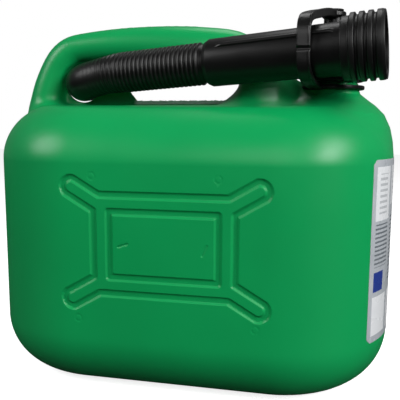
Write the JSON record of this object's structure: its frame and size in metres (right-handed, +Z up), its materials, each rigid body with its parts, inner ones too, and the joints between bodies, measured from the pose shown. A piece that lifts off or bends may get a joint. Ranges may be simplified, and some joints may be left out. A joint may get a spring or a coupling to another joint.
{
  "type": "fuel can",
  "caption": "Blow-moulded fuel can with a carrying handle, a screw cap on a retaining strap and a flexible pouring spout stowed through the handle.",
  "frame": {"origin": "middle of the footprint, on the surface the can stands on", "axes": "+Z up, +X towards the filler neck, -Y the side the spout is stowed on"},
  "size_m": [0.2649, 0.15, 0.2424],
  "materials": {
    "can_plastic": "satin blow-moulded polyethylene, green",
    "cap_plastic": "satin moulded black plastic",
    "strap_plastic": "satin flexible black plastic",
    "spout_plastic": "satin moulded black plastic",
    "nut_plastic": "satin moulded black plastic",
    "hose_plastic": "satin flexible black plastic",
    "seal": "matt fuel-resistant rubber",
    "label_film": "printed silver film with plain blocks and no lettering"
  },
  "bodies": {
    "can": {"can_body": "can_plastic", "filler_neck": "can_plastic", "end_label": "label_film", "retaining_strap": "strap_plastic"},
    "seal": {"cap_seal": "seal"},
    "cap": {"filler_cap": "cap_plastic"},
    "spout": {"spout_tube": "spout_plastic", "spout_gasket": "seal"},
    "nut": {"collar_nut": "nut_plastic"},
    "hose": {"corrugated_hose": "hose_plastic"}
  },
  "joints": [
    {"name": "cap_lift", "type": "slide", "parent": "can", "child": "seal", "axis": [0, 0, 1], "range_m": [0, 0.006]},
    {"name": "cap_turn", "type": "hinge", "parent": "seal", "child": "cap", "pos_m": [0.0923, 0, 0.21], "axis": [0, 0, 1], "range_deg": [0, 540]},
    {"name": "spout_draw", "type": "slide", "parent": "can", "child": "spout", "axis": [0.9856, -0.1561, 0.0645], "range_m": [0, 0.01]},
    {"name": "nut_spin", "type": "hinge", "parent": "spout", "child": "nut", "pos_m": [0.10906, -0.04315, 0.212], "axis": [0.9856, -0.1561, 0.0645], "continuous": true},
    {"name": "hose_bend", "type": "hinge", "parent": "spout", "child": "hose", "pos_m": [0.02035, -0.0291, 0.20619], "axis": [-0.0637, 0.0101, 0.9979], "range_deg": [0, 12.7]}
  ],
  "couplings": [
    {"joint": "cap_turn", "follows": "cap_lift", "rad_per_m": 1570.8},
    {"joint": "hose_bend", "follows": "spout_draw", "rad_per_m": 22}
  ]
}
